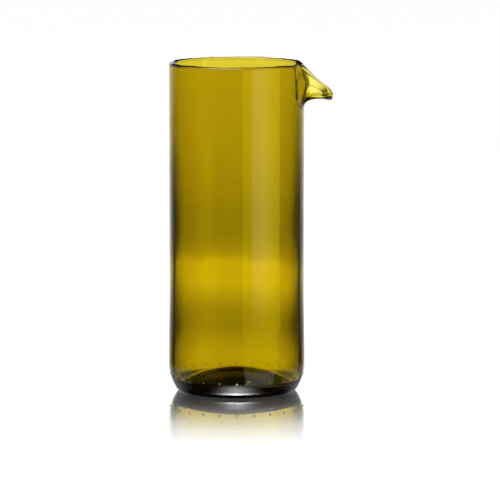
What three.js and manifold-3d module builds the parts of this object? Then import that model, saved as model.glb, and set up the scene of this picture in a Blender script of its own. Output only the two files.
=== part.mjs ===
// Glass carafe made from a straight-sided bottle. The bottle is cut below its shoulder, the cut edge
// is melted to a round bead, and one narrow beak is drawn out of the hot rim to pour from.
// Units are millimetres. +Z is up, the origin is on the vessel's axis at the table, and the spout
// points along +X. The vessel is one wall of glass, held here as three zones that meet on flat planes:
// the moulded base, the straight body with its rim, and the drawn spout.

import * as THREE from 'three';
import { mergeVertices } from 'three/addons/utils/BufferGeometryUtils.js';
import Module from 'manifold-3d';

// Vessel
const HEIGHT = 184.3; // table to the crest of the rim
const BODY_DIAMETER = 75; // outside of the straight wall
const HEEL_SWELL = 0.45; // how far the widest ring, where the heel begins, stands out from that wall
const PANEL_START = 62; // height where the taper above the heel has become the straight wall
const WALL = 3; // glass of the straight wall
const RIM_BEAD = 3.2; // diameter of the melted edge
const BEAD_FADE = 8; // length over which the bead thins down to the wall

// Slow swelling on the inside of the wall, left where the blown glass settled
const SETTLE_SWELL = 0.6;
const SETTLE_HEIGHT = 86;
const SETTLE_LENGTH = 19;

// Heel, foot and punt
const HEEL_HEIGHT = 16.4; // the heel's curve ends here, and the base zone with it
const HEEL_CURVE_RADIUS = 28;
const FOOT_ROUND = 3.8; // from the heel's curve into the bearing ring
const BEARING_WIDTH = 3.2; // flat ring that stands on the table
const PUNT_ROUND = 2; // from the bearing ring into the punt
const PUNT_DEPTH = 8.5; // underside of the dome above the table
const BASE_THICKNESS = 4.8; // glass at the top of the dome
const VALLEY_THICKNESS = 4.8; // glass over the bearing ring, at the lowest point inside
const INNER_CORNER_RADIUS = 7; // from the inside of the wall into that valley

// Spout
const SPOUT_REACH = 16; // tip beyond the outside of the wall
const SPOUT_DROP = 17; // rim crest to the path of the spout's keel at its tip
const SPOUT_ROOT = 8.5; // how far below that the keel's path begins to leave the wall
const SPOUT_SPREAD = 7.4; // distance round the wall, each way, in which the pull fades
const SPOUT_EDGE = 4; // power of that fading: higher is a flatter keel with steeper sides
const SPOUT_PINCH = 0.7; // share of its width that the spout loses by its tip
const TIP_LIFT = 1.2; // how far the lip stands up on each side of the tip
const TIP_LIFT_EDGE = 5; // power that keeps this lift close to the tip
const WEB_THICKNESS = 1; // stretched glass of the spout's two sides
const LIP_BEAD = 1.3; // melted edge along those sides
const STRETCH_RATE = 2; // how soon, as the pull grows, the glass has become that thin
const KEEL_THICKNESS = 3.6; // glass gathered along the bottom of the spout
const TIP_BEAD = 4; // melted edge at the tip
const KEEL_HANG = 1.6; // how far the gathered glass hangs out below the path of the keel
const GATHER_EDGE = 6; // power that keeps the gathered glass close to the keel
const ZONE_RATIO = 1.9; // half width of the spout's zone to its spread: the pull has ended there

// Facets
const TURN_STEPS = 72;
const DOME_STEPS = 6;
const PUNT_STEPS = 3;
const FOOT_STEPS = 4;
const HEEL_STEPS = 6;
const CORNER_STEPS = 6;
const TAPER_STEPS = 6;
const SETTLE_STEPS = 10;
const LOWER_WALL_STEPS = 4;
const FADE_STEPS = 3;
const BEAD_STEPS = 8;
const SPOUT_COLUMNS = 56;
const SPOUT_ROWS = 18;

const bodyRadius = BODY_DIAMETER / 2;
const heelRadius = bodyRadius + HEEL_SWELL;
const midRadius = bodyRadius - WALL / 2;
const beadRadius = RIM_BEAD / 2;
const seamHeight = HEEL_HEIGHT;

const smooth = (share) => share * share * (3 - 2 * share);
const limit = THREE.MathUtils.clamp;

const glass = (name) => new THREE.MeshStandardMaterial({
  name,
  color: 0xb09200,
  roughness: 0.04,
  metalness: 0,
  transparent: true,
  opacity: 0.7,
});

function arc(centre, radius, from, to, steps) {
  const clockwise = to < from;
  const curve = new THREE.EllipseCurve(centre.x, centre.y, radius, radius, from, to, clockwise);
  return curve.getPoints(steps);
}

// Turns a profile of (radius, height) points about the vessel's axis. A profile that runs up the
// outside and down the inside has its faces pointing out of the glass.
function turned(profile) {
  return new THREE.LatheGeometry(profile, TURN_STEPS).rotateX(Math.PI / 2);
}

const angleTo = (centre, point) => Math.atan2(point.y - centre.y, point.x - centre.x);

// Base: underside dome, bearing ring, foot and heel outside; valley and dome inside
function baseGeometry() {
  const heelCentre = new THREE.Vector2(heelRadius - HEEL_CURVE_RADIUS, HEEL_HEIGHT);
  const footRise = HEEL_HEIGHT - FOOT_ROUND;
  const footRun = Math.sqrt((HEEL_CURVE_RADIUS - FOOT_ROUND) ** 2 - footRise ** 2);
  const footCentre = new THREE.Vector2(heelCentre.x + footRun, FOOT_ROUND);
  const footAngle = angleTo(heelCentre, footCentre);

  // The dome is a sphere that touches the small rounding beside the bearing ring.
  const bearingInside = footCentre.x - BEARING_WIDTH;
  const domeReach = (bearingInside ** 2 + PUNT_DEPTH ** 2) / (2 * PUNT_DEPTH);
  const domeRadius = domeReach - PUNT_ROUND;
  const domeCentre = new THREE.Vector2(0, PUNT_DEPTH - domeRadius);
  const puntCentre = new THREE.Vector2(bearingInside, PUNT_ROUND);
  const puntAngle = angleTo(domeCentre, puntCentre);

  // Inside, the floor's dome runs into the corner under the wall in the same way.
  const floorTop = PUNT_DEPTH + BASE_THICKNESS;
  const innerRadius = heelRadius - WALL;
  const cornerCentre = new THREE.Vector2(
    innerRadius - INNER_CORNER_RADIUS,
    VALLEY_THICKNESS + INNER_CORNER_RADIUS,
  );
  const floorRise = floorTop - VALLEY_THICKNESS;
  const floorReach = (cornerCentre.x ** 2 + floorRise ** 2) / (2 * floorRise);
  const floorRadius = floorReach - INNER_CORNER_RADIUS;
  const floorCentre = new THREE.Vector2(0, floorTop - floorRadius);
  const cornerAngle = angleTo(floorCentre, cornerCentre);

  return turned([
    ...arc(domeCentre, domeRadius, Math.PI / 2, puntAngle, DOME_STEPS),
    ...arc(puntCentre, PUNT_ROUND, puntAngle - Math.PI, -Math.PI / 2, PUNT_STEPS).slice(1),
    ...arc(footCentre, FOOT_ROUND, -Math.PI / 2, footAngle, FOOT_STEPS),
    ...arc(heelCentre, HEEL_CURVE_RADIUS, footAngle, 0, HEEL_STEPS).slice(1),
    new THREE.Vector2(innerRadius, seamHeight),
    ...arc(cornerCentre, INNER_CORNER_RADIUS, 0, cornerAngle - Math.PI, CORNER_STEPS),
    ...arc(floorCentre, floorRadius, cornerAngle, Math.PI / 2, DOME_STEPS).slice(1),
  ]);
}

// Body: a tapering tube with a melted edge, and a notch that the spout's zone fills
function outerRadius(height) {
  const share = limit((height - seamHeight) / (PANEL_START - seamHeight), 0, 1);
  return THREE.MathUtils.lerp(heelRadius, bodyRadius, smooth(share));
}

function settleSwell(height) {
  const offset = (height - SETTLE_HEIGHT) / SETTLE_LENGTH;
  return SETTLE_SWELL * Math.exp(-offset * offset);
}

// How much the bead adds to each face of a wall, at a depth below the centre of the bead
function beadSwell(depth, wall, bead) {
  return ((bead - wall) / 2) * (1 - smooth(limit(depth / BEAD_FADE, 0, 1)));
}

const steps = (from, to, count) => Array.from(
  { length: count + 1 },
  (_, i) => THREE.MathUtils.lerp(from, to, i / count),
);

function bodyGeometry() {
  const beadCentre = new THREE.Vector2(midRadius, HEIGHT - beadRadius);
  const straightTop = beadCentre.y - BEAD_FADE;
  const fade = steps(BEAD_FADE, 0, FADE_STEPS);
  const fadeOut = fade.map((depth) => new THREE.Vector2(
    bodyRadius + beadSwell(depth, WALL, RIM_BEAD),
    beadCentre.y - depth,
  ));
  const fadeIn = fade.map((depth) => new THREE.Vector2(
    bodyRadius - WALL - beadSwell(depth, WALL, RIM_BEAD),
    beadCentre.y - depth,
  )).reverse();
  const taper = steps(seamHeight, PANEL_START, TAPER_STEPS);
  const settleTop = SETTLE_HEIGHT + 2 * SETTLE_LENGTH;
  const settleFoot = SETTLE_HEIGHT - 2 * SETTLE_LENGTH;
  const inside = [
    ...steps(settleTop, settleFoot, SETTLE_STEPS),
    ...steps(settleFoot, seamHeight, LOWER_WALL_STEPS).slice(1),
  ];
  const profile = [
    ...taper.map((height) => new THREE.Vector2(outerRadius(height), height)),
    ...fadeOut,
    ...arc(beadCentre, beadRadius, 0, Math.PI, BEAD_STEPS).slice(1, -1),
    ...fadeIn,
    ...inside.filter((height) => height < straightTop).map((height) => new THREE.Vector2(
      outerRadius(height) - WALL - settleSwell(height),
      height,
    )),
  ];
  return turned([...profile, profile[0]]);
}

// Spout: the wall near +X, carried out along the keel. The keel is the path that the middle of the
// wall takes; to each side of it the pull fades with the distance round the wall.
const tip = new THREE.Vector2(bodyRadius + SPOUT_REACH - TIP_BEAD / 2, HEIGHT - SPOUT_DROP);
const bend = new THREE.Vector2(midRadius, tip.y);
const root = new THREE.Vector2(midRadius, tip.y - SPOUT_ROOT);
const keel = new THREE.QuadraticBezierCurve(tip, bend, root);

const beadHeight = HEIGHT - beadRadius;
const drawnDepth = beadHeight - root.y;

const pull = (along) => Math.exp(-((Math.abs(along) / SPOUT_SPREAD) ** SPOUT_EDGE));

// How strongly the glass was worked: fully at the lip, not at all below the drawn depth
const worked = (depth) => 1 - smooth(limit(depth / drawnDepth, 0, 1));

// Middle of the glass, at a distance round the wall from +X and a depth below the bead's centre
function middle(along, depth) {
  const angle = along / midRadius;
  const wall = new THREE.Vector3(
    midRadius * Math.cos(angle),
    midRadius * Math.sin(angle),
    beadHeight - depth,
  );
  if (depth >= drawnDepth) {
    return wall;
  }
  const share = pull(along);
  const drawn = keel.getPointAt(depth / drawnDepth);
  const carried = share * (drawn.x - midRadius);
  const lift = TIP_LIFT * Math.sin(Math.PI * share ** TIP_LIFT_EDGE) * worked(depth);
  wall.x += carried;
  wall.y *= 1 - SPOUT_PINCH * (carried / (tip.x - midRadius));
  wall.z += share * (drawn.y - wall.z) + lift;
  return wall;
}

// The sides of the spout are stretched thin, and glass gathers along its keel and at its tip.
const gathered = (along, depth) => pull(along) ** GATHER_EDGE * worked(depth);

function thickness(along, depth) {
  const stretched = smooth(limit(STRETCH_RATE * pull(along), 0, 1)) * worked(depth);
  const gather = gathered(along, depth);
  const blend = (plain, thin, thick) => plain + (thin - plain) * stretched + (thick - thin) * gather;
  const wall = blend(WALL, WEB_THICKNESS, KEEL_THICKNESS);
  const bead = blend(RIM_BEAD, LIP_BEAD, TIP_BEAD);
  return wall + 2 * beadSwell(depth, wall, bead);
}

// Points of one upright section: up the outside, over the lip and down the inside
function spoutSection(along, depths) {
  const nudge = 0.01; // step that the slopes are taken over
  const frameAt = (depth) => {
    const round = middle(along + nudge, depth).sub(middle(along - nudge, depth));
    const up = middle(along, depth).sub(middle(along, depth + nudge)).normalize();
    const out = new THREE.Vector3().crossVectors(round, up).normalize();
    const centre = middle(along, depth).addScaledVector(out, KEEL_HANG * gathered(along, depth));
    return { centre, out, up, half: thickness(along, depth) / 2 };
  };
  const frames = depths.map(frameAt);
  const lip = frames.at(-1);
  const outside = frames.map(({ centre, out, half }) => centre.clone().addScaledVector(out, half));
  const inside = frames.map(({ centre, out, half }) => centre.clone().addScaledVector(out, -half));
  const crest = steps(0, Math.PI, BEAD_STEPS).slice(1, -1).map((angle) => lip.centre.clone()
    .addScaledVector(lip.out, lip.half * Math.cos(angle))
    .addScaledVector(lip.up, lip.half * Math.sin(angle)));
  return [...outside, ...crest, ...inside.reverse()];
}

// Closed solid through a row of like sections, each a closed loop of points
function lofted(sections) {
  const ring = sections[0].length;
  const index = [];
  const quad = (a, b, c, d) => index.push(a, b, c, a, c, d);
  for (let i = 0; i + 1 < sections.length; i += 1) {
    for (let j = 0; j < ring; j += 1) {
      const k = (j + 1) % ring;
      quad(i * ring + j, (i + 1) * ring + j, (i + 1) * ring + k, i * ring + k);
    }
  }
  const last = (sections.length - 1) * ring;
  for (let j = 0; j < ring / 2 - 1; j += 1) {
    const across = ring - 1 - j;
    quad(j, j + 1, across - 1, across);
    quad(last + j, last + across, last + across - 1, last + j + 1);
  }
  const geometry = new THREE.BufferGeometry();
  geometry.setFromPoints(sections.flat());
  geometry.setIndex(index);
  return geometry;
}

// The spout's zone is cut out of the wall by a box whose sides lie just past the drawn glass.
const zoneHalfWidth = ZONE_RATIO * SPOUT_SPREAD;
const zoneFoot = root.y - WALL;
const zoneTop = HEIGHT + WALL;
const zoneReach = bodyRadius + SPOUT_REACH + WALL;

// The sections reach half a wall past the sides of the zone, and a wall below it, to be cut there.
function spoutGeometry() {
  const halfAngle = Math.asin((zoneHalfWidth + WALL / 2) / (bodyRadius - WALL));
  const deepest = beadHeight - zoneFoot + WALL;
  const depths = [deepest, ...steps(drawnDepth, 0, SPOUT_ROWS)];
  const columns = steps(-halfAngle * midRadius, halfAngle * midRadius, SPOUT_COLUMNS);
  return lofted(columns.map((along) => spoutSection(along, depths)));
}

function zoneGeometry() {
  const box = new THREE.BoxGeometry(zoneReach, 2 * zoneHalfWidth, zoneTop - zoneFoot);
  return box.translate(zoneReach / 2, 0, (zoneTop + zoneFoot) / 2);
}

// Cuts and joins
const wasm = await Module();
wasm.setup();

function solid(geometry) {
  const sameCorner = 1e-4;
  const bare = geometry.clone();
  bare.deleteAttribute('normal');
  bare.deleteAttribute('uv');
  const merged = mergeVertices(bare, sameCorner);
  return new wasm.Manifold(new wasm.Mesh({
    numProp: 3,
    vertProperties: merged.attributes.position.array,
    triVerts: Uint32Array.from(merged.index.array),
  }));
}

function geometryOf(manifold) {
  const mesh = manifold.getMesh();
  const geometry = new THREE.BufferGeometry();
  geometry.setAttribute('position', new THREE.BufferAttribute(mesh.vertProperties, 3));
  geometry.setIndex(new THREE.BufferAttribute(mesh.triVerts, 1));
  geometry.computeVertexNormals();
  return geometry;
}

const zone = solid(zoneGeometry());
const pieces = {
  base: baseGeometry(),
  body: geometryOf(solid(bodyGeometry()).subtract(zone)),
  spout: geometryOf(solid(spoutGeometry()).intersect(zone)),
};

const carafe = new THREE.Group();
for (const [name, geometry] of Object.entries(pieces)) {
  const mesh = new THREE.Mesh(geometry, glass(`${name}_glass`));
  mesh.name = name;
  carafe.add(mesh);
}

export default carafe;
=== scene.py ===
import math

import bpy
import numpy as np
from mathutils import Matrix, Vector


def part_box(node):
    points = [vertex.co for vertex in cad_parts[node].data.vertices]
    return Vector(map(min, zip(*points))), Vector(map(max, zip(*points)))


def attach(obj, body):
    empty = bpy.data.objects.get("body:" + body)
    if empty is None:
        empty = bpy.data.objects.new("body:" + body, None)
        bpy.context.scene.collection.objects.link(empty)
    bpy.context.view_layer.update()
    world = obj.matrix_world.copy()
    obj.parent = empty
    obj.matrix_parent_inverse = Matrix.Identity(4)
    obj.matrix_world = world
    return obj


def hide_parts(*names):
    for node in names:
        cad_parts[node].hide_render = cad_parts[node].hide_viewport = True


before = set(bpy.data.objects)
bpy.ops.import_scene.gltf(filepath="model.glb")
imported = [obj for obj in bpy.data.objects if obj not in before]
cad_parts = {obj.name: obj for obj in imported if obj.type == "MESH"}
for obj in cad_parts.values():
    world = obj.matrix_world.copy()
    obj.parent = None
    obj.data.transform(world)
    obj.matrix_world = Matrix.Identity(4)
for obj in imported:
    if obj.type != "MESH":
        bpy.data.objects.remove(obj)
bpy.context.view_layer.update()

# The vessel is one unbroken wall of olive glass: a straight-sided bottle with a domed base, cut below
# its shoulder. The cut edge is melted to a round bead, and a narrow beak is drawn out of the hot rim.
# The wall is swept here as one closed skin: up the outside, over the lip and down the inside.
_, base_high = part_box("base")
_, body_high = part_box("body")
_, spout_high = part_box("spout")
RIM_HEIGHT = body_high.z
HEEL_RADIUS = base_high.y
HEEL_HEIGHT = base_high.z
BODY_RADIUS = 0.0375
STRAIGHT_START = 0.062
WALL = 0.003
RIM_BEAD = 0.003
BEAD_FADE = 0.006

HEEL_CURVE_RADIUS = 0.028
FOOT_ROUND = 0.0038
BEARING_WIDTH = 0.0032
PUNT_ROUND = 0.002
PUNT_DEPTH = 0.0085
BASE_THICKNESS = 0.0048
VALLEY_THICKNESS = 0.006
INNER_CORNER_RADIUS = 0.0035
PUNT_STEPS = 16
PUNT_ROUND_STEPS = 6
FOOT_STEPS = 10
HEEL_STEPS = 80
INNER_HEEL_STEPS = 24
INNER_CORNER_STEPS = 16
FLOOR_STEPS = 30

SPOUT_DROP = 0.017
SPOUT_ROOT = 0.0085
SPOUT_SPREAD = 0.0074
SPOUT_EDGE = 4
SPOUT_PINCH = 0.7
TIP_LIFT = 0.0012
TIP_LIFT_EDGE = 5
WEB_THICKNESS = 0.0005
LIP_BEAD = 0.0013
STRETCH_RATE = 2
KEEL_THICKNESS = 0.0018
TIP_BEAD = 0.003
KEEL_HANG = 0.0024
GATHER_EDGE = 6
SHOULDER_WIDTH = 0.0065
SHOULDER_DEPTH = 0.008

mid_radius = BODY_RADIUS - WALL / 2
bead_height = RIM_HEIGHT - RIM_BEAD / 2
tip = np.array([spout_high.x - TIP_BEAD / 2, RIM_HEIGHT - SPOUT_DROP])
root_height = tip[1] - SPOUT_ROOT
drawn_depth = bead_height - root_height


def smooth(share):
    share = np.clip(share, 0, 1)
    return share * share * (3 - 2 * share)


def arc(centre, radius, start, end, steps):
    """Points (radius, height) on an arc, from one angle to another."""
    angle = np.linspace(start, end, steps + 1)
    return np.stack([centre[0] + radius * np.cos(angle), centre[1] + radius * np.sin(angle)], axis=1)


def slant(centre, point):
    return math.atan2(point[1] - centre[1], point[0] - centre[0])


# Underside and heel, from the top of the punt out to the seam with the straight wall
def underside():
    heel = (HEEL_RADIUS - HEEL_CURVE_RADIUS, HEEL_HEIGHT)
    foot_run = math.sqrt((HEEL_CURVE_RADIUS - FOOT_ROUND) ** 2 - (HEEL_HEIGHT - FOOT_ROUND) ** 2)
    foot = (heel[0] + foot_run, FOOT_ROUND)
    bearing_inside = foot[0] - BEARING_WIDTH
    dome_radius = (bearing_inside ** 2 + PUNT_DEPTH ** 2) / (2 * PUNT_DEPTH) - PUNT_ROUND
    dome = (0, PUNT_DEPTH - dome_radius)
    punt = (bearing_inside, PUNT_ROUND)
    punt_angle = slant(dome, punt)
    foot_angle = slant(heel, foot)
    quarter = math.pi / 2
    return np.concatenate([
        arc(dome, dome_radius, quarter, punt_angle, PUNT_STEPS),
        arc(punt, PUNT_ROUND, punt_angle - math.pi, -quarter, PUNT_ROUND_STEPS)[1:],
        arc(foot, FOOT_ROUND, -quarter, foot_angle, FOOT_STEPS),
        arc(heel, HEEL_CURVE_RADIUS, foot_angle, 0, HEEL_STEPS)[1:],
    ])


# Inside, the wall follows the heel down into a valley, from where the floor's dome rises to the axis
def inside_floor():
    heel = (HEEL_RADIUS - HEEL_CURVE_RADIUS, HEEL_HEIGHT)
    curve_radius = HEEL_CURVE_RADIUS - WALL
    corner_height = VALLEY_THICKNESS + INNER_CORNER_RADIUS
    corner_run = math.sqrt((curve_radius - INNER_CORNER_RADIUS) ** 2 - (HEEL_HEIGHT - corner_height) ** 2)
    corner = (heel[0] + corner_run, corner_height)
    floor_top = PUNT_DEPTH + BASE_THICKNESS
    floor_rise = floor_top - VALLEY_THICKNESS
    floor_radius = (corner[0] ** 2 + floor_rise ** 2) / (2 * floor_rise) - INNER_CORNER_RADIUS
    centre = (0, floor_top - floor_radius)
    heel_angle = slant(heel, corner)
    corner_angle = slant(centre, corner)
    return np.concatenate([
        arc(heel, curve_radius, 0, heel_angle, INNER_HEEL_STEPS)[1:],
        arc(corner, INNER_CORNER_RADIUS, heel_angle, corner_angle - math.pi, INNER_CORNER_STEPS)[1:],
        arc(centre, floor_radius, corner_angle, math.pi / 2, FLOOR_STEPS)[1:],
    ])


def outer_radius(height):
    share = smooth((height - HEEL_HEIGHT) / (STRAIGHT_START - HEEL_HEIGHT))
    return HEEL_RADIUS + (BODY_RADIUS - HEEL_RADIUS) * share


# Hot glass settles unevenly: a slow swelling inside the wall, and faint ripples over it.
# Each ripple has its waves round the wall, its pitch up the wall, its phase and its share.
SETTLE_SWELL = 0.0001
SETTLE_HEIGHT = 0.086
SETTLE_LENGTH = 0.019
SETTLE_TILT = 0.003
RIPPLE = 0.000012
RIPPLES = ((3, 60, 0, 1), (7, -110, 1.3, 1), (13, 190, 0.4, 0.6))
RIPPLE_FADE = 0.02


def inner_swell(angle, height):
    centre = SETTLE_HEIGHT - SETTLE_TILT * np.cos(angle)
    swell = SETTLE_SWELL * np.exp(-((height - centre) / SETTLE_LENGTH) ** 2)
    ripple = 0
    for waves, pitch, phase, share in RIPPLES:
        ripple = ripple + share * np.sin(waves * angle + pitch * height + phase)
    ends = smooth((height - HEEL_HEIGHT) / RIPPLE_FADE) * smooth((root_height - height) / RIPPLE_FADE)
    return swell + RIPPLE * ripple * ends


# The keel is the path that the middle of the wall takes as the spout is drawn
KEEL_STEPS = 300
keel_run = np.linspace(0, 1, KEEL_STEPS)[:, None]
bend = np.array([mid_radius, tip[1]])
root = np.array([mid_radius, root_height])
keel = (1 - keel_run) ** 2 * tip + 2 * keel_run * (1 - keel_run) * bend + keel_run ** 2 * root
keel_length = np.concatenate([[0], np.cumsum(np.linalg.norm(np.diff(keel, axis=0), axis=1))])
keel_share = keel_length / keel_length[-1]


def pull(along):
    return np.exp(-np.abs(along / SPOUT_SPREAD) ** SPOUT_EDGE)


def worked(depth):
    return 1 - smooth(depth / drawn_depth)


def wall_middle(along, depth):
    """Middle of the glass, at a distance round the wall from the spout and a depth below the rim."""
    angle = along / mid_radius
    share = pull(along) * (depth < drawn_depth)
    reach = np.interp(depth / drawn_depth, keel_share, keel[:, 0])
    height = np.interp(depth / drawn_depth, keel_share, keel[:, 1])
    lift = TIP_LIFT * np.sin(math.pi * pull(along) ** TIP_LIFT_EDGE) * worked(depth)
    carried = share * (reach - mid_radius)
    x = mid_radius * np.cos(angle) + carried
    y = mid_radius * np.sin(angle) * (1 - SPOUT_PINCH * carried / (tip[0] - mid_radius))
    z = bead_height - depth + share * (height - bead_height + depth) + lift
    return np.stack(np.broadcast_arrays(x, y, z), axis=-1)


def gathered(along, depth):
    return pull(along) ** GATHER_EDGE * worked(depth)


def half_thickness(along, depth):
    stretched = smooth(STRETCH_RATE * pull(along)) * worked(depth)
    beside = 1 - smooth((np.abs(along) - SPOUT_SPREAD) / SHOULDER_WIDTH)
    shoulder = beside * (1 - smooth(depth / SHOULDER_DEPTH))
    stretched = np.maximum(stretched, shoulder)
    gather = gathered(along, depth)
    wall = WALL + (WEB_THICKNESS - WALL) * stretched + (KEEL_THICKNESS - WEB_THICKNESS) * gather
    bead = RIM_BEAD + (LIP_BEAD - RIM_BEAD) * stretched + (TIP_BEAD - LIP_BEAD) * gather
    return (wall + (bead - wall) * (1 - smooth(depth / BEAD_FADE))) / 2


# The columns of the skin run up the wall: close together at the spout, and closer at each mould dot
DOT_COUNT = 24
DOT_TURN = math.radians(3.5)
DOT_RADIUS = 0.0008
DOT_HEIGHT = 0.0005
DOT_RING_HEIGHT = 0.0091
DOT_MARGIN = 1.1
DOT_COLUMNS = 10
GAP_COLUMNS = 6
SPOUT_COLUMNS = 160
SPOUT_SECTORS = 2
dot_spacing = 2 * math.pi / DOT_COUNT
dot_half = DOT_MARGIN * DOT_RADIUS / BODY_RADIUS
sector = np.concatenate([
    np.linspace(0, dot_spacing / 2 - dot_half, GAP_COLUMNS, endpoint=False),
    np.linspace(dot_spacing / 2 - dot_half, dot_spacing / 2 + dot_half, DOT_COLUMNS, endpoint=False),
    np.linspace(dot_spacing / 2 + dot_half, dot_spacing, GAP_COLUMNS, endpoint=False),
])
spout_edge = SPOUT_SECTORS * dot_spacing
angles = np.concatenate([
    np.linspace(-spout_edge, spout_edge, SPOUT_COLUMNS, endpoint=False),
    *(step * dot_spacing + sector for step in range(SPOUT_SECTORS, DOT_COUNT - SPOUT_SECTORS)),
]) - DOT_TURN
signed = np.where(angles > math.pi, angles - 2 * math.pi, angles)

# The melted rim is uneven. Each wave has its count round the rim, its phase and its share.
RIM_WAVE = 0.0001
RIM_WAVES = ((5, 0.7, 1), (9, 2.1, 0.8), (16, 0.2, 0.6), (31, 1.1, 0.5), (47, 0.5, 0.35))
RIM_WAVE_FADE = 0.012


def rim_wave(depth):
    wave = 0
    for count, phase, share in RIM_WAVES:
        wave = wave + share * np.sin(count * signed + phase)
    return RIM_WAVE * wave * (1 - smooth(depth / RIM_WAVE_FADE)) * (1 - pull(signed * mid_radius))


# Small mould dots stand in one even ring round the heel
def dot_rise(radius, height):
    across = (np.mod(angles + DOT_TURN, dot_spacing) - dot_spacing / 2) * radius
    distance = np.hypot(across, height - DOT_RING_HEIGHT)
    return DOT_HEIGHT * (1 - smooth(distance / DOT_RADIUS))


def ring(radius, height):
    radius = radius + np.zeros_like(angles)
    height = height + np.zeros_like(angles)
    return np.stack([radius * np.cos(angles), radius * np.sin(angles), height], axis=-1)


# The upper wall is laid out from its middle, with half of the glass to each side and a round lip
NUDGE = 1e-5
UPPER_ROWS = 56
LIP_ROWS = 14
OUTER_ROWS = 48
INNER_ROWS = 72
depths = np.linspace(drawn_depth, 0, UPPER_ROWS)[:, None]
along = (signed * mid_radius)[None, :]
middle = wall_middle(along, depths)
sideways = wall_middle(along + NUDGE, depths) - wall_middle(along - NUDGE, depths)
upward = middle - wall_middle(along, depths + NUDGE)
upward /= np.linalg.norm(upward, axis=-1, keepdims=True)
outward = np.cross(sideways, upward)
outward /= np.linalg.norm(outward, axis=-1, keepdims=True)
half = half_thickness(along, depths)[..., None]
hang = KEEL_HANG * gathered(along, depths)[..., None]
thinned = (WALL / 2 - half) * (1 - pull(along)[..., None]) ** 2
middle = middle + (hang + thinned) * outward
middle[..., 2] += rim_wave(depths)
lip_turn = np.linspace(0, math.pi, LIP_ROWS + 1)[1:-1, None, None]
lip = middle[-1] + half[-1] * (np.cos(lip_turn) * outward[-1] + np.sin(lip_turn) * upward[-1])

skin = []
for radius, height in underside()[1:-1]:
    skin.append(ring(radius + dot_rise(radius, height), height))
for height in np.linspace(HEEL_HEIGHT, root_height, OUTER_ROWS)[:-1]:
    skin.append(ring(outer_radius(height), height))
skin.extend(middle + half * outward)
skin.extend(lip)
skin.extend((middle - half * outward)[::-1])
for height in np.linspace(root_height, HEEL_HEIGHT, INNER_ROWS)[1:]:
    skin.append(ring(outer_radius(height) - WALL - inner_swell(angles, height), height))
for radius, height in inside_floor()[:-1]:
    skin.append(ring(radius, height))

rows = len(skin)
columns = len(angles)
corners = np.concatenate(skin)
punt_top = len(corners)
floor_top = punt_top + 1
corners = np.concatenate([corners, [[0, 0, PUNT_DEPTH], [0, 0, PUNT_DEPTH + BASE_THICKNESS]]])
here = np.arange(columns)
beside = np.roll(here, -1)
faces = []
for row in range(rows - 1):
    low = row * columns
    high = low + columns
    faces.extend(np.stack([low + here, low + beside, high + beside, high + here], axis=1).tolist())
last = (rows - 1) * columns
faces.extend([punt_top, int(b), int(a)] for a, b in zip(here, beside))
faces.extend([last + int(a), last + int(b), floor_top] for a, b in zip(here, beside))

vessel_mesh = bpy.data.meshes.new("glass_vessel")
vessel_mesh.from_pydata(corners.tolist(), [], faces)
vessel_mesh.shade_smooth()
vessel = bpy.data.objects.new("glass_vessel", vessel_mesh)
bpy.context.scene.collection.objects.link(vessel)


# The vessel's glass is olive bottle glass, clear and polished, and coloured all through. The mould left
# faint flow lines in it. It looks paler where the spout was drawn out thin. The floor and punt are darker:
# partly the thick glass's own deeper olive, and partly painted shade for the shade under the vessel.
class Wire:
    """An output socket of a node tree. Arithmetic on it adds Math nodes."""

    def __init__(self, tree, socket=None):
        self.tree = tree
        self.socket = socket

    def node(self, kind, settings=None, values=None, output=0):
        made = self.tree.nodes.new(kind)
        for name, value in (settings or {}).items():
            if name == "stops":
                set_stops(made.color_ramp, value)
            else:
                setattr(made, name, value)
        for key, value in (values or {}).items():
            if isinstance(value, Wire):
                self.tree.links.new(value.socket, made.inputs[key])
            else:
                made.inputs[key].default_value = value
        return Wire(self.tree, made.outputs[output] if made.outputs else None)

    def math(self, operation, *operands):
        return self.node("ShaderNodeMath", {"operation": operation}, dict(enumerate(operands)))

    def __add__(self, other):
        return self.math("ADD", self, other)

    def __radd__(self, other):
        return self.math("ADD", other, self)

    def __sub__(self, other):
        return self.math("SUBTRACT", self, other)

    def __rsub__(self, other):
        return self.math("SUBTRACT", other, self)

    def __mul__(self, other):
        return self.math("MULTIPLY", self, other)

    def __rmul__(self, other):
        return self.math("MULTIPLY", other, self)

    def __truediv__(self, other):
        return self.math("DIVIDE", self, other)

    def __rtruediv__(self, other):
        return self.math("DIVIDE", other, self)


def set_stops(ramp, stops):
    while len(ramp.elements) > 1:
        ramp.elements.remove(ramp.elements[-1])
    for index, (place, colour) in enumerate(stops):
        stop = ramp.elements[0] if index == 0 else ramp.elements.new(place)
        stop.position = place
        stop.color = (*colour, 1) if isinstance(colour, tuple) else (colour, colour, colour, 1)


def slope(value, start, end, low=0, high=1, kind="SMOOTHSTEP"):
    """A value that runs from low to high while another runs from start to end."""
    return value.node("ShaderNodeMapRange", {"interpolation_type": kind}, {
        "Value": value,
        "From Min": start,
        "From Max": end,
        "To Min": low,
        "To Max": high,
    })


def blend(share, start, end):
    """A colour that runs from one to another while a share runs from 0 to 1."""
    return share.node("ShaderNodeMix", {"data_type": "RGBA"}, {0: share, 6: start, 7: end}, output=2)


def part_of(vector, letter):
    """The X, Y or Z of a vector."""
    return vector.node("ShaderNodeSeparateXYZ", values={0: vector}, output=letter)


def new_tree(owner):
    owner.use_nodes = True
    owner.node_tree.nodes.clear()
    return Wire(owner.node_tree)


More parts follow.
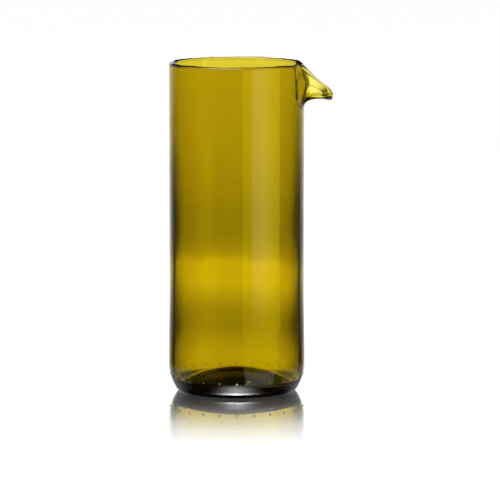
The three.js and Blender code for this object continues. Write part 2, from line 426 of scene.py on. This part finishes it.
GLASS_IOR = 1.52
WALL_TINT = (0.815, 0.69, 0.155, 1)
WALL_TINT_FLOW = (0.785, 0.67, 0.145, 1)
SPOUT_TINT = (0.97, 0.9, 0.66, 1)
SPOUT_TINT_START = 0.0385
SPOUT_TINT_END = 0.0405
# Floor and punt colour: partly the thick glass's own deeper olive, partly painted shade under the vessel
FLOOR_TINT_AND_SHADE = (0.33, 0.24, 0.03, 1)
FLOOR_TINT_RADIUS = 0.0295
FLOOR_TINT_HEIGHT = 0.0145
FLOOR_TINT_EDGE = 0.001
ABSORPTION_COLOUR = (0.8994, 0.8759, 0.0, 1)
ABSORPTION_DENSITY = 498
FLOW_STRETCH = (1, 1, 0.15)
FLOW_SCALE = 180
FLOW_DETAIL = 3
FLOW_STRENGTH = 0.04
FLOW_DEPTH = 0.0002
HAZE_SCALE = 60
HAZE_DETAIL = 4
HAZE_ROUGHNESS = 0.02

olive_glass = bpy.data.materials.new("olive_glass")
tree = new_tree(olive_glass)
place = tree.node("ShaderNodeTexCoord", output="Object")
flow = tree.node("ShaderNodeMapping", values={"Vector": place, "Scale": FLOW_STRETCH})
flow_lines = tree.node("ShaderNodeTexNoise", values={
    "Vector": flow,
    "Scale": FLOW_SCALE,
    "Detail": FLOW_DETAIL,
})
haze = tree.node("ShaderNodeTexNoise", values={
    "Vector": place,
    "Scale": HAZE_SCALE,
    "Detail": HAZE_DETAIL,
})
from_axis = tree.node("ShaderNodeVectorMath", {"operation": "MULTIPLY"}, {0: place, 1: (1, 1, 0)})
from_axis = tree.node("ShaderNodeVectorMath", {"operation": "LENGTH"}, {0: from_axis}, output="Value")
above_foot = part_of(place, "Z")
on_spout = slope(from_axis, SPOUT_TINT_START, SPOUT_TINT_END)
on_floor = slope(from_axis, FLOOR_TINT_RADIUS, FLOOR_TINT_RADIUS + FLOOR_TINT_EDGE, 1, 0)
on_floor = on_floor * slope(above_foot, FLOOR_TINT_HEIGHT, FLOOR_TINT_HEIGHT + FLOOR_TINT_EDGE, 1, 0)
tint = blend(flow_lines, WALL_TINT, WALL_TINT_FLOW)
tint = blend(on_spout, tint, SPOUT_TINT)
# The floor and punt take the darker colour, which is partly painted shade
tint = blend(on_floor, tint, FLOOR_TINT_AND_SHADE)
bump = tree.node("ShaderNodeBump", values={
    "Strength": FLOW_STRENGTH,
    "Distance": FLOW_DEPTH,
    "Height": flow_lines,
})
surface = tree.node("ShaderNodeBsdfPrincipled", values={
    "Base Color": tint,
    "Roughness": haze * HAZE_ROUGHNESS,
    "IOR": GLASS_IOR,
    "Transmission Weight": 1,
    "Normal": bump,
})
absorption = tree.node("ShaderNodeVolumeAbsorption", values={
    "Color": ABSORPTION_COLOUR,
    "Density": ABSORPTION_DENSITY,
})
tree.node("ShaderNodeOutputMaterial", values={"Surface": surface, "Volume": absorption})
vessel_mesh.materials.append(olive_glass)

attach(vessel, "root")
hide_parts("base", "body", "spout")

# The table is a white polished board. It mirrors the foot of the vessel, and the mirror image fades
# out with the distance; seen through the glass, its far parts have broad pale and shaded bands.
# Each band has its place, as a share of the reach, and its level; each panel its place and half width.
TABLE_SIDE = 40
TABLE_DROP = 0.00002
TABLE_GREY = (0.35, 0.35, 0.35, 1)
TABLE_GLOW = 0.72
VIEW_TURN = math.radians(4)
MIRROR_START = 0.04
MIRROR_END = 0.218
MIRROR_SHARE = 0.985
MIRROR_TINT = (0.87, 0.98, 1.0, 1)
MIRROR_SHALLOW = 0.86
MIRROR_STEEP = 0.6
MIRROR_ROUGHNESS = 0.02
BAND_REACH = 4.0
BANDS = (
    (0.0, 0.0),
    (0.0095, 0.01),
    (0.0115, 0.45),
    (0.015, 0.74),
    (0.0358, 0.79),
    (0.0457, 0.67),
    (0.061, 0.53),
    (0.0772, 0.55),
    (0.0942, 0.75),
    (0.1118, 1.0),
    (0.141, 1.0),
    (0.153, 0.66),
    (0.1715, 0.51),
    (0.201, 0.52),
    (0.242, 0.595),
    (0.296, 0.66),
    (0.358, 0.7),
    (0.429, 0.7),
    (0.512, 0.75),
    (0.545, 0.83),
)
BAND_LEVEL = 1.4
BAND_SKEW = 0.158
PANEL_COUNT = 3
PANEL_ASIDE = math.radians(1.2)
PANEL_WIDTHS = (
    (0.0, 0.9),
    (0.02, 0.7),
    (0.031, 0.55),
    (0.064, 0.315),
    (0.1, 0.395),
    (0.139, 0.48),
    (0.17, 0.305),
    (0.25, 0.32),
    (0.43, 0.38),
)
GAP_NEAR = 0.8
GAP_FAR = 2.0
GAP_DARK = 0.05
GAP_PALE = 0.64
# Painted light and shade in the gloss of the glass: the table glows pale far behind the vessel and is dark
# at its sides
GLOSS_SIDE = 0.02
GLOSS_BACK = 0.7
GLOSS_BACK_START = 0.55
# Painted highlight: a glowing hot spot on the table at the foot, seen only in the gloss of the glass
PATCH_LEVEL = 8
PATCH_FOCUS = 38
PATCH_INSIDE = (0.0346, 0.0353)
PATCH_OUTSIDE = (0.0385, 0.047)
PATCH_CORE = (0.0357, 0.0372)
PATCH_CORE_LEVELS = (2.6, 0.8)
# Painted light: a dim glow on the table close round the vessel's flanks
FLANK_LEVEL = 0.33
FLANK_TURN = (-0.65, -0.2)
FLANK_REACH = (0.07, 0.15)
# Painted light: a glowing wedge on the table below the softbox, pale near the foot and olive further out,
# seen only in the gloss of the glass
WEDGE_LEFT = math.radians(-77)
WEDGE_RIGHT = math.radians(-16)
WEDGE_RIGHT_NEAR = math.radians(-43)
WEDGE_EDGE = math.radians(3)
WEDGE_START = (0.041, 0.046)
WEDGE_SPREAD = (0.045, 0.13)
WEDGE_FADE = (0.08, 0.13)
WEDGE_NEAR = (0.72, 0.84, 0.78, 1)
WEDGE_FAR = (0.75, 0.66, 0.015, 1)
WEDGE_LEVEL = 1.05
table_mesh = bpy.data.meshes.new("table")
side = TABLE_SIDE / 2
table_corners = [(-side, -side), (side, -side), (side, side), (-side, side)]
table_mesh.from_pydata([(x, y, -TABLE_DROP) for x, y in table_corners], [], [(0, 1, 2, 3)])
table = bpy.data.objects.new("table", table_mesh)
bpy.context.scene.collection.objects.link(table)

white_board = bpy.data.materials.new("white_board")
tree = new_tree(white_board)
spot = tree.node("ShaderNodeNewGeometry", output="Position")
distance = tree.node("ShaderNodeVectorMath", {"operation": "LENGTH"}, {0: spot}, output="Value")
spot_x = part_of(spot, "X")
spot_y = part_of(spot, "Y")
bearing = tree.math("ARCTAN2", spot_y, spot_x)
aside = spot_x * math.cos(VIEW_TURN) + spot_y * math.sin(VIEW_TURN)
is_glossy = tree.node("ShaderNodeLightPath", output="Is Glossy Ray")
is_transmission = tree.node("ShaderNodeLightPath", output="Is Transmission Ray")

near = slope(distance, MIRROR_START, MIRROR_END, MIRROR_SHARE, 0)
facing = tree.node("ShaderNodeLayerWeight", output="Facing")
shallow = slope(facing, MIRROR_STEEP, MIRROR_SHALLOW)
lit = tree.node("ShaderNodeBsdfDiffuse", values={"Color": TABLE_GREY})
glow = tree.node("ShaderNodeEmission", values={"Strength": TABLE_GLOW})
plain = tree.node("ShaderNodeAddShader", values={0: lit, 1: glow})
mirror = tree.node("ShaderNodeBsdfGlossy", values={"Color": MIRROR_TINT, "Roughness": MIRROR_ROUGHNESS})
seen = tree.node("ShaderNodeMixShader", values={0: near * shallow, 1: plain, 2: mirror})

# Through the glass: rings of bands, cut into panels that point away from the vessel
ring_distance = distance + aside * BAND_SKEW
band = tree.node("ShaderNodeValToRGB", {"stops": BANDS}, {"Fac": ring_distance / BAND_REACH})
panel_step = 2 * math.pi / PANEL_COUNT
away = bearing - (VIEW_TURN + math.pi / 2)
off_panel = tree.math("WRAP", away - PANEL_ASIDE, -panel_step / 2, panel_step / 2)
panel_width = tree.node("ShaderNodeValToRGB", {"stops": PANEL_WIDTHS}, {"Fac": distance / BAND_REACH})
panel_share = off_panel / panel_width
panel_share = panel_share * panel_share
panel = tree.math("EXPONENT", panel_share * panel_share * -1)
gap = slope(distance, GAP_NEAR, GAP_FAR, GAP_DARK, GAP_PALE)
panel_level = panel + gap - panel * gap
through_glass = tree.node("ShaderNodeEmission", values={
    "Color": band * panel_level,
    "Strength": BAND_LEVEL,
})

# In the gloss of the wall the table shows painted light and shade: a pale far side with dark sides, a
# dim glow round the flanks, a painted hot spot at the foot for the heel's highlight, and a painted pool
# of softbox light in a wedge below the softbox
behind = tree.math("COSINE", away)
far_side = slope(behind, GLOSS_BACK_START, 1, GLOSS_SIDE, GLOSS_BACK)
in_front = tree.math("POWER", tree.math("MAXIMUM", behind * -1, 0), PATCH_FOCUS)
# Where the painted hot spot glows: a thin ring just outside the foot, brightest in front
painted_foot_highlight = slope(distance, *PATCH_INSIDE) * slope(distance, *PATCH_OUTSIDE, 1, 0)
painted_foot_highlight = painted_foot_highlight * slope(distance, *PATCH_CORE, *PATCH_CORE_LEVELS)
on_flank = slope(behind, *FLANK_TURN) * slope(distance, *FLANK_REACH, 1, 0)
# All the painted light that the gloss of the glass sees on the table
painted_gloss_light = far_side + painted_foot_highlight * in_front * PATCH_LEVEL + on_flank * FLANK_LEVEL
right_edge = slope(distance, *WEDGE_SPREAD, WEDGE_RIGHT_NEAR, WEDGE_RIGHT, "LINEAR")
from_right = bearing - right_edge
wedge_left = slope(bearing, WEDGE_LEFT, WEDGE_LEFT + WEDGE_EDGE)
wedge_right = slope(from_right, -WEDGE_EDGE, WEDGE_EDGE, 1, 0)
wedge_share = wedge_left * wedge_right * slope(distance, *WEDGE_START)
wedge_colour = blend(slope(distance, *WEDGE_FADE), WEDGE_NEAR, WEDGE_FAR)
# The painted pool of softbox light on the table
painted_wedge_light = tree.node("ShaderNodeEmission", values={"Color": wedge_colour, "Strength": WEDGE_LEVEL})
in_gloss = tree.node("ShaderNodeEmission", values={"Color": painted_gloss_light})
in_gloss = tree.node("ShaderNodeMixShader", values={0: wedge_share, 1: in_gloss, 2: painted_wedge_light})
reflected = tree.node("ShaderNodeMixShader", values={0: is_glossy, 1: seen, 2: in_gloss})
board = tree.node("ShaderNodeMixShader", values={0: is_transmission, 1: reflected, 2: through_glass})
tree.node("ShaderNodeOutputMaterial", values={"Surface": board})
table_mesh.materials.append(white_board)

# An upright softbox stands close by at the right, in front of the vessel. It draws the pale strip down
# the wall. It is hidden from the camera and linked to the vessel alone, so the table doesn't mirror it.
SOFTBOX_DISTANCE = 0.28
SOFTBOX_AZIMUTH = math.radians(-43.5)
SOFTBOX_HALF_WIDTH = 0.178
SOFTBOX_HEIGHT = 0.30
SOFTBOX_LEVEL = 2.85
SOFTBOX_FOOT = (0.35, 0.31, 0.007, 1)
SOFTBOX_FOOT_SHARE = 0.2
SOFTBOX_ACROSS = (
    (0.0, (0.5, 0.45, 0.01)),
    (0.2, (0.5, 0.45, 0.01)),
    (0.28, (0.95, 0.86, 0.2)),
    (0.55, (0.95, 0.86, 0.2)),
    (0.7, (0.78, 0.72, 0.06)),
    (1.0, (0.6, 0.56, 0.03)),
)
outwards = np.array([math.cos(SOFTBOX_AZIMUTH), math.sin(SOFTBOX_AZIMUTH), 0])
across = np.array([-outwards[1], outwards[0], 0]) * SOFTBOX_HALF_WIDTH
foot = outwards * SOFTBOX_DISTANCE
top = foot + np.array([0, 0, SOFTBOX_HEIGHT])
softbox_corners = [tuple(corner) for corner in (foot - across, foot + across, top + across, top - across)]
softbox_mesh = bpy.data.meshes.new("softbox")
softbox_mesh.from_pydata(softbox_corners, [], [(0, 1, 2, 3)])
softbox = bpy.data.objects.new("softbox", softbox_mesh)
bpy.context.scene.collection.objects.link(softbox)
softbox.visible_camera = False
softbox.visible_diffuse = False
softbox.visible_transmission = False
softbox.visible_shadow = False
lit_by_softbox = bpy.data.collections.new("lit_by_softbox")
lit_by_softbox.objects.link(vessel)
softbox.light_linking.receiver_collection = lit_by_softbox
softbox_glow = bpy.data.materials.new("softbox_glow")
tree = new_tree(softbox_glow)
place = tree.node("ShaderNodeTexCoord", output="Generated")
from_left = part_of(place, "X")
from_foot = part_of(place, "Z")
upper = tree.node("ShaderNodeValToRGB", {"stops": SOFTBOX_ACROSS}, {"Fac": from_left})
colour = blend(slope(from_foot, 0, SOFTBOX_FOOT_SHARE), SOFTBOX_FOOT, upper)
glow = tree.node("ShaderNodeEmission", values={"Color": colour, "Strength": SOFTBOX_LEVEL})
tree.node("ShaderNodeOutputMaterial", values={"Surface": glow})
softbox_mesh.materials.append(softbox_glow)

# A broad lamp hangs overhead, in front of the vessel and to its left, and is tilted towards it.
# It lays the soft shadow on the table.
LAMP_WIDTH = 1.0
LAMP_DEPTH = 0.3
LAMP_POWER = 12
LAMP_PLACE = (-0.3, -0.5, 1.4)
LAMP_TILT = (math.radians(20), math.radians(-12), 0)
lamp_data = bpy.data.lights.new("overhead", "AREA")
lamp_data.shape = "RECTANGLE"
lamp_data.size = LAMP_WIDTH
lamp_data.size_y = LAMP_DEPTH
lamp_data.energy = LAMP_POWER
lamp = bpy.data.objects.new("overhead", lamp_data)
lamp.location = LAMP_PLACE
lamp.rotation_euler = LAMP_TILT
bpy.context.scene.collection.objects.link(lamp)

# The room is white to the camera, and lights the table evenly. Gloss and glass see a pale horizon and a
# dark room above it; through the glass, the horizon has darker gaps between its panels.
ROOM_IN_GLOSS = (
    (0.0, (0.34, 0.3, 0.3)),
    (0.11, (0.4, 0.35, 0.35)),
    (0.135, (1.0, 0.888, 0.87)),
    (0.19, (1.0, 0.888, 0.87)),
    (0.21, 0.045),
)
ROOM_IN_GLASS = ((0.0, 1.0), (0.178, 0.9), (0.188, 0.02))
ROOM_LEVEL = 1.15
ROOM_PANEL = math.radians(18)
ROOM_GAP = 0.15
ROOM_FILL = 0.75
WHITE = (1, 1, 1, 1)
world = bpy.data.worlds.new("studio")
bpy.context.scene.world = world
tree = new_tree(world)
direction = tree.node("ShaderNodeTexCoord", output="Generated")
height = part_of(direction, "Z")
bearing = tree.math("ARCTAN2", part_of(direction, "Y"), part_of(direction, "X"))
away = bearing - (VIEW_TURN + math.pi / 2)
off_panel = tree.math("WRAP", away - PANEL_ASIDE, -panel_step / 2, panel_step / 2) / ROOM_PANEL
off_panel = off_panel * off_panel
panel = tree.math("EXPONENT", off_panel * off_panel * -1) * (1 - ROOM_GAP) + ROOM_GAP
in_gloss = tree.node("ShaderNodeValToRGB", {"stops": ROOM_IN_GLOSS}, {"Fac": height})
glass_level = tree.node("ShaderNodeValToRGB", {"stops": ROOM_IN_GLASS}, {"Fac": height})
through_glass = glass_level * panel * (BAND_LEVEL / ROOM_LEVEL)
is_camera = tree.node("ShaderNodeLightPath", output="Is Camera Ray")
is_diffuse = tree.node("ShaderNodeLightPath", output="Is Diffuse Ray")
is_transmission = tree.node("ShaderNodeLightPath", output="Is Transmission Ray")
room_colour = blend(is_transmission, in_gloss, through_glass)
room = tree.node("ShaderNodeBackground", values={"Color": room_colour, "Strength": ROOM_LEVEL})
white = tree.node("ShaderNodeBackground", values={"Color": WHITE, "Strength": 1})
fill = tree.node("ShaderNodeBackground", values={"Color": WHITE, "Strength": ROOM_FILL})
studio = tree.node("ShaderNodeMixShader", values={0: is_camera, 1: room, 2: white})
studio = tree.node("ShaderNodeMixShader", values={0: is_diffuse, 1: studio, 2: fill})
tree.node("ShaderNodeOutputWorld", values={"Surface": studio})

# The camera stands 2.4 m away and looks down a little on the vessel. It is turned by a few degrees from
# the vessel's front, so that the spout comes forward.
CAMERA_DISTANCE = 2.4
CAMERA_HEIGHT = 0.390
AIM_ASIDE = 0.00744
AIM_HEIGHT = 0.07895
FRAME_WIDTH = 0.2771
SENSOR = 36
camera_data = bpy.data.cameras.new("camera")
camera = bpy.data.objects.new("camera", camera_data)
camera.location = (
    CAMERA_DISTANCE * math.sin(VIEW_TURN),
    -CAMERA_DISTANCE * math.cos(VIEW_TURN),
    CAMERA_HEIGHT,
)
bpy.context.scene.collection.objects.link(camera)
bpy.context.scene.camera = camera
aim = Vector((AIM_ASIDE * math.cos(VIEW_TURN), AIM_ASIDE * math.sin(VIEW_TURN), AIM_HEIGHT))
view = aim - camera.location
camera.rotation_euler = view.to_track_quat("-Z", "Y").to_euler()
camera_data.sensor_width = SENSOR
camera_data.lens = SENSOR * CAMERA_DISTANCE / FRAME_WIDTH
bpy.context.scene.view_settings.view_transform = "Standard"
